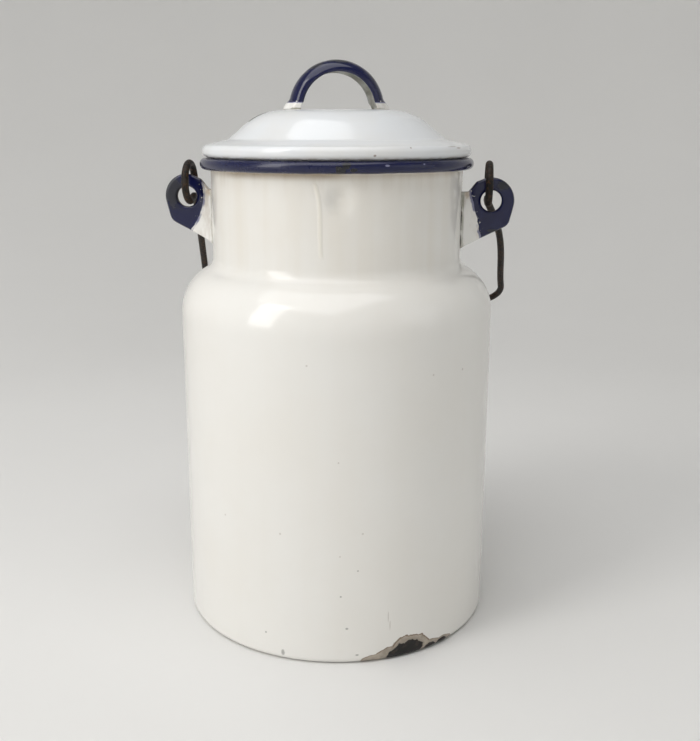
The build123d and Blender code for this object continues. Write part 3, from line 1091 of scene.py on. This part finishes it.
def ear_spoke(direction, rounds):
    """The front of one spoke as (x, y, z, edge), from the hole's edge out to the outline.
    edge is 1 in the middle of a rounded edge and 0 on the flat."""
    inner = EAR_HOLE + EAR_ROUND
    outer = ear_reach(direction, rounds) - EAR_ROUND
    quarter = [math.pi / 2 * k / EDGE_STEPS for k in range(EDGE_STEPS + 1)]
    profile = [(inner - EAR_ROUND * math.cos(a), math.sin(a)) for a in quarter]
    profile += [(inner + (outer - inner) * k / BAND_STEPS, 1.0) for k in range(1, BAND_STEPS)]
    profile += [(outer + EAR_ROUND * math.sin(a), math.cos(a)) for a in quarter]
    points = []
    for r, lift in profile:
        x = r * math.cos(direction)
        y = EAR_ROUND * (1 - lift) - flare(x)
        points.append((x, y, r * math.sin(direction), 1 - lift))
    return points


# %% Ears
ear_dull = [
    ((EAR_X + 5.0, -1.0, EAR_HEIGHT + 6.0), (3.0, 3.0, 2.0)),
    ((-EAR_X - 6.0, -1.0, EAR_HEIGHT + 3.0), (5.0, 4.0, 7.5)),
    ((EAR_X + 1.0, -1.0, EAR_HEIGHT - 12.0), (2.4, 3.0, 0.8)),
]
ear_rust = [
    ((side * (EAR_X - 10.4), -1.5, EAR_HEIGHT + 3.0), (2.0, 3.0, 2.6))
    for side in (-1, 1)
]
ear_enamel = make_trim_finish("ear_enamel", ear_dull, 0.85, ear_rust)

# Each ear has its own rounds below the ring, lift from use, and line where the blue begins
EAR_DETAILS = {
    1: {
        "rounds": [((-1.6, -9.2), 3.6), ((3.8, -7.0), 4.0)],
        "lifted": 0.0,
        "blue_line": (-7.3, -0.25, 0.0),
    },
    -1: {
        "rounds": [((0.6, -9.5), 3.4), ((3.4, -7.0), 4.3)],
        "lifted": 0.9,
        "blue_line": (-7.2, -0.08, 0.026),
    },
}


def limited(value):
    return min(1.0, max(0.0, value))


def make_ear(side):
    """The right ear for side 1, the left one for side -1."""
    details = EAR_DETAILS[side]
    rounds = [(Vector((0.0, 0.0)), EAR_RING)]
    rounds += [(Vector(centre), radius) for centre, radius in details["rounds"]]
    blue_from, blue_slant, blue_curve = details["blue_line"]
    work = bmesh.new()
    spokes = []
    marks = {"blue_coat": [], "seam_and_hollow_shade": [], "worn_edge": []}
    for k in range(EAR_SPOKES):
        front = ear_spoke(2 * math.pi * k / EAR_SPOKES, rounds)
        back = [(x, -y, z, edge) for x, y, z, edge in reversed(front)]
        ring = []
        for x, y, z, edge in front + back:
            lift = details["lifted"] * limited((x - ROOT_X) / -ROOT_X)
            place = Vector((side * (EAR_X + x), y, EAR_HEIGHT + z + lift)) * MM
            ring.append(work.verts.new(place))
            from_neck = math.hypot(EAR_X + x, y) - NECK_RADIUS
            blue_begins = blue_from + blue_slant * z + blue_curve * z**2
            marks["blue_coat"].append(limited(0.5 + (x - blue_begins) / 4.0))
            marks["seam_and_hollow_shade"].append(limited(1.0 - from_neck / 1.2))
            marks["worn_edge"].append(edge if from_neck > 4.0 else 0.0)
        spokes.append(ring)
    count = len(spokes[0])
    for near, far in zip(spokes, spokes[1:] + spokes[:1]):
        for k in range(count):
            work.faces.new((near[k], near[(k + 1) % count], far[(k + 1) % count], far[k]))
    mesh = bpy.data.meshes.new("ear")
    work.to_mesh(mesh)
    work.free()
    outward_normals(mesh)
    for word, values in marks.items():
        mark_points(mesh, word, values)
    return mesh


place_piece("ear_right_lug", make_ear(1), ear_enamel, "can", "ear_right")
place_piece("ear_left_lug", make_ear(-1), ear_enamel, "can", "ear_left")

# %% [markdown]
# ## The bail
# One length of steel wire: an eye, a short bend that brings the leg onto the eye's middle line,
# a leg that leans outwards, a rounded corner, the cross bar, and the same again. The route is
# worked out from those sizes, and a node tree gives it its round section, because a tree that
# follows a path needs only the path and one radius.

# %% Bail route
EYE_X = EAR_X - 1.2
EYE_HEIGHT = EAR_HEIGHT + (EAR_HOLE + EAR_RING) / 2
EYE_RADIUS = EYE_HEIGHT - EAR_HEIGHT + 1.0
EYE_BEND = 4.0
EYE_TURN = 320.0
EYE_STEPS = 64
BEND_STEPS = 12
BAR_REACH = BODY_RADIUS + 10.1
BAIL_DROP = 61.2
BAIL_LEAN = math.radians(8.5)
BAIL_EASE = 12.0
BAIL_CORNER = 14.0
LEG_BOW = 3.0
BOW_END = 0.82
hang = math.atan2(BAIL_DROP, BAR_REACH)
bail_arm = math.hypot(BAIL_DROP, BAR_REACH)
bend_reach = math.sqrt((EYE_RADIUS + EYE_BEND) ** 2 - EYE_BEND**2)
bend_turn = math.atan2(bend_reach, EYE_BEND)
lean_start = bend_reach + BAIL_EASE * math.tan(BAIL_LEAN / 2) + 0.5
bar_half = EYE_X + (bail_arm - lean_start) * math.tan(BAIL_LEAN)


def hanging(x, down, off=0.0):
    """A point of the bail: x along the ears, down the hanging leg, off its plane."""
    y = down * math.cos(hang) - off * math.sin(hang)
    z = -down * math.sin(hang) - off * math.cos(hang)
    return Vector((x, y, EYE_HEIGHT + z)) * MM


eye = []
for k in range(EYE_STEPS, -1, -1):
    a = bend_turn - math.radians(EYE_TURN) * k / EYE_STEPS
    eye.append((EYE_RADIUS * math.cos(a), EYE_RADIUS * math.sin(a)))
for k in range(BEND_STEPS - 1, -1, -1):
    a = math.pi + bend_turn * k / BEND_STEPS
    eye.append((EYE_BEND + EYE_BEND * math.cos(a), bend_reach + EYE_BEND * math.sin(a)))
legs = rounded_outline(
    [
        (EYE_X, bend_reach),
        (EYE_X, lean_start),
        (bar_half, bail_arm),
        (-bar_half, bail_arm),
        (-EYE_X, lean_start),
        (-EYE_X, bend_reach),
    ],
    [BAIL_EASE, BAIL_CORNER, BAIL_CORNER, BAIL_EASE],
    step=6.0,
    arc_step=5.0,
)


def bowed(point):
    """Where the right leg is, bent outward by use from its eye to where its corner begins."""
    share = (point.y - bend_reach) / (bail_arm - bend_reach) / BOW_END
    if point.x < 0 or not 0 < share < 1:
        return point.x
    return point.x + LEG_BOW * math.sin(math.pi * share**0.75) ** 1.5


route = [hanging(EYE_X, down, off) for off, down in eye]
route += [hanging(bowed(p), p.y) for p in legs[1:-1]]
route += [hanging(-EYE_X, down, off) for off, down in eye[::-1]]
wire_length = sum((b - a).length for a, b in zip(route, route[1:]))
print("the bail is bent from", round(wire_length / MM), "mm of wire")

# %% [markdown]
# ## Old steel wire
# The bail is dark brown-black: rust that has been handled smooth, with pitted patches. It is
# partly metallic where hands rubbed it, and rough elsewhere.

# %% Wire finish and wire tree
WIRE_PITS = 0.25
WIRE_SIDES = 20


def make_wire_finish():
    material, t, shader = new_finish("rusty_wire")
    place = object_place(t)
    patches = ramp(t, noise(t, place, 0.006, detail=6.0, roughness=0.65), 0.45, 0.7)
    crumbs = ramp(t, noise(t, place, 0.0012, detail=5.0), 0.5, 0.62)
    colour = blend_colours(t, patches, IRON_DARK, IRON_BROWN)
    colour = blend_colours(t, t.math("MULTIPLY", crumbs, 0.2), colour, RUST)
    t.feed(shader.inputs["Base Color"], colour)
    t.feed(shader.inputs["Metallic"], t.math("SUBTRACT", 0.4, t.math("MULTIPLY", patches, 0.35)))
    t.feed(shader.inputs["Roughness"], t.math("MULTIPLY_ADD", patches, 0.25, 0.5))
    shader.inputs["Specular IOR Level"].default_value = 0.35
    pits = t.math("MULTIPLY", noise(t, place, 0.0011, detail=6.0), WIRE_PITS * MM)
    bump = t.add("ShaderNodeBump", Height=pits)
    bump.inputs["Distance"].default_value = 1.0
    t.feed(shader.inputs["Normal"], bump)
    return material


bent = bpy.data.node_groups.new("bent_wire", "GeometryNodeTree")
tree_input(bent, "Route", "NodeSocketGeometry")
tree_input(bent, "Wire radius", "NodeSocketFloat", 0.0015)
tree_input(bent, "Sides", "NodeSocketInt", 20)
tree_input(bent, "Material", "NodeSocketMaterial")
bent.interface.new_socket(name="Piece", in_out="OUTPUT", socket_type="NodeSocketGeometry")
t = Tree(bent)
given = t.add("NodeGroupInput").outputs
path = t.add("GeometryNodeMeshToCurve", Mesh=given["Route"])
ring = t.add("GeometryNodeCurvePrimitiveCircle", {"mode": "RADIUS"}, Resolution=given["Sides"])
t.feed(ring.inputs["Radius"], given["Wire radius"])
tube = t.add("GeometryNodeCurveToMesh")
t.feed(tube.inputs["Curve"], path)
t.feed(tube.inputs["Profile Curve"], ring.outputs["Curve"])
tube.inputs["Fill Caps"].default_value = True
real = t.add("GeometryNodeRealizeInstances", Geometry=tube)
finished = t.add("GeometryNodeSetMaterial", Geometry=real, Material=given["Material"])
t.add("NodeGroupOutput", _0=finished)

rusty_wire = make_wire_finish()
wire_values = {"Wire radius": WIRE_RADIUS * MM, "Sides": WIRE_SIDES, "Material": rusty_wire}
wire_mesh = run_tree(bent, line_mesh(route), wire_values)
outward_normals(wire_mesh)
place_piece("bail_bent_wire", wire_mesh, rusty_wire, "bail", "bail_wire")

# %% [markdown]
# ## The wooden grip
# Turned beech on the cross bar, thickest in the middle, with two scored lines near each end.
# It is turned round Z like the can and then laid along the bar. The grain is stretched noise
# along the bar, with the growth rings showing as bands.

# %% Grip finish and grip
GRIP_HALF = 42.0
GRIP_RADIUS = 9.8
GRIP_END_RADIUS = 7.6
GRIP_BORE = 1.8
SCORE_PLACES = (-34.0, -31.5, 31.5, 34.0)
SCORE_DEPTH = 0.5
SCORE_WIDTH = 0.35
GRIP_END_ROUND = 2.0
GRIP_STEPS = 150
GRAIN_DEPTH = 0.2
BEECH_PALE = (0.36, 0.19, 0.085, 1.0)
BEECH_DARK = (0.22, 0.105, 0.045, 1.0)
BEECH_PORES = (0.09, 0.04, 0.018, 1.0)
HAND_GRIME = (0.05, 0.03, 0.018, 1.0)


def make_wood_finish():
    material, t, shader = new_finish("turned_beech")
    place = object_place(t)
    grain = noise(t, place, 0.0022, detail=6.0, stretch=(0.07, 1.0, 1.0))
    bands = noise(t, place, 0.009, detail=2.0, stretch=(0.12, 1.0, 1.0), shift=0.4)
    colour = blend_colours(t, ramp(t, bands, 0.3, 0.7), BEECH_PALE, BEECH_DARK)
    colour = blend_colours(t, ramp(t, grain, 0.48, 0.7, 0.0, 0.7), colour, BEECH_PORES)
    grime = ramp(t, noise(t, place, 0.02, detail=4.0), 0.45, 0.75, 0.0, 0.5)
    colour = blend_colours(t, grime, colour, HAND_GRIME)
    t.feed(shader.inputs["Base Color"], colour)
    t.feed(shader.inputs["Roughness"], t.math("MULTIPLY_ADD", grain, 0.25, 0.4))
    bump = t.add("ShaderNodeBump", Height=t.math("MULTIPLY", grain, -GRAIN_DEPTH * MM))
    bump.inputs["Distance"].default_value = 1.0
    t.feed(shader.inputs["Normal"], bump)
    return material


def grip_radius_at(x):
    """The barrel's curve, with the scored lines cut into it."""
    barrel = GRIP_RADIUS - (GRIP_RADIUS - GRIP_END_RADIUS) * (x / GRIP_HALF) ** 2
    score = sum(math.exp(-(((x - s) / SCORE_WIDTH) ** 2)) for s in SCORE_PLACES)
    return barrel - SCORE_DEPTH * min(score, 1.0)


turned_beech = make_wood_finish()
barrel = []
for k in range(GRIP_STEPS + 1):
    x = -GRIP_HALF + 2 * GRIP_HALF * k / GRIP_STEPS
    into_round = max(0.0, GRIP_END_ROUND - (GRIP_HALF - abs(x)))
    trim = GRIP_END_ROUND - math.sqrt(GRIP_END_ROUND**2 - into_round**2)
    barrel.append(Vector((grip_radius_at(x) - trim, x)))
grip_outline = [Vector((GRIP_BORE, -GRIP_HALF))] + barrel + [Vector((GRIP_BORE, GRIP_HALF))]
grip_outline.append(grip_outline[0].copy())
grip_mesh = turned_mesh(grip_outline, turned_beech, columns=64)
lay_along_x = Matrix.Rotation(math.radians(90), 4, "Y")
to_bar = Matrix.Translation(Vector((0.0, BAR_REACH, EYE_HEIGHT - BAIL_DROP)) * MM)
grip_mesh.transform(to_bar @ lay_along_x)
place_piece("grip_barrel", grip_mesh, turned_beech, "grip", "bail_grip")

# %% [markdown]
# ## The studio
# A round floor that curves up into a wall, so that no horizon line shows behind the can. Its
# pale colour alone makes the background. The key light is tall and narrow and
# stands at the front left, so that it shows in the neck as one upright streak. A wide light
# overhead makes the lid and the shoulder the brightest parts, a weak one stands at the right,
# and the sky fills in the rest. Together they show a colour about as bright as it is written.

# %% Floor and lights
FLOOR_COLOUR = (0.76, 0.755, 0.74, 1.0)
CAN_MIDDLE = Vector((0.0, 0.0, 0.12))
sweep_corners = [(0.0, 0.0), (1.5, 0.0), (1.5, 1.8)]
sweep_outline = rounded_outline(sweep_corners, [1.0], step=0.2, arc_step=3.0)
floor_material, t, floor_shader = new_finish("studio_floor")
mottle = ramp(t, noise(t, object_place(t), 0.2, detail=3.0), 0.3, 0.7, 0.0, 1.0)
t.feed(
    floor_shader.inputs["Base Color"],
    blend_colours(t, mottle, FLOOR_COLOUR, [c * 0.985 for c in FLOOR_COLOUR[:3]] + [1.0]),
)
floor_shader.inputs["Roughness"].default_value = 0.85
floor_mesh = run_tree(
    turned,
    line_mesh([(p.x, 0.0, p.y) for p in sweep_outline]),
    {"Columns": 96, "Material": floor_material},
)
floor = bpy.data.objects.new("studio_floor", floor_mesh)
bpy.context.scene.collection.objects.link(floor)
floor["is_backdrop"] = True


def soft_light(name, angle, distance, height, size, power, colour):
    """A flat lamp at an angle round the can, turned to face the can's middle."""
    data = bpy.data.lights.new(name, "AREA")
    data.shape = "RECTANGLE"
    data.size = size[0]
    data.size_y = size[1]
    data.energy = power
    data.color = colour
    lamp = bpy.data.objects.new(name, data)
    turn = math.radians(angle)
    lamp.location = (distance * math.cos(turn), distance * math.sin(turn), height)
    aim = CAN_MIDDLE - lamp.location
    lamp.rotation_euler = aim.to_track_quat("-Z", "Y").to_euler()
    lamp.visible_camera = False
    bpy.context.scene.collection.objects.link(lamp)


# Angle in degrees, distance and height in metres, width and height in metres, watts, colour
soft_light("key_light", -138.5, 1.0, 0.55, (0.36, 1.1), 5.6, (1.0, 0.985, 0.96))
soft_light("top_light", -120.0, 0.35, 1.25, (1.3, 1.3), 10.2, (1.0, 1.0, 1.0))
soft_light("fill_light", -20.0, 1.0, 0.4, (0.5, 0.8), 0.5, (0.95, 0.98, 1.0))
SKY_STRENGTH = 0.2
world = bpy.data.worlds.new("studio_sky")
world.use_nodes = True
sky = world.node_tree.nodes["Background"]
sky.inputs["Color"].default_value = (1.0, 1.0, 1.0, 1.0)
sky.inputs["Strength"].default_value = SKY_STRENGTH
bpy.context.scene.world = world
print("three soft lights and a floor sweep")

visual_box = [list(corner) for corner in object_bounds()]
for name, low, high in (("solid", *cad_box), ("visual", *visual_box)):
    print(name, [round(v / MM, 2) for v in low], [round(v / MM, 2) for v in high])
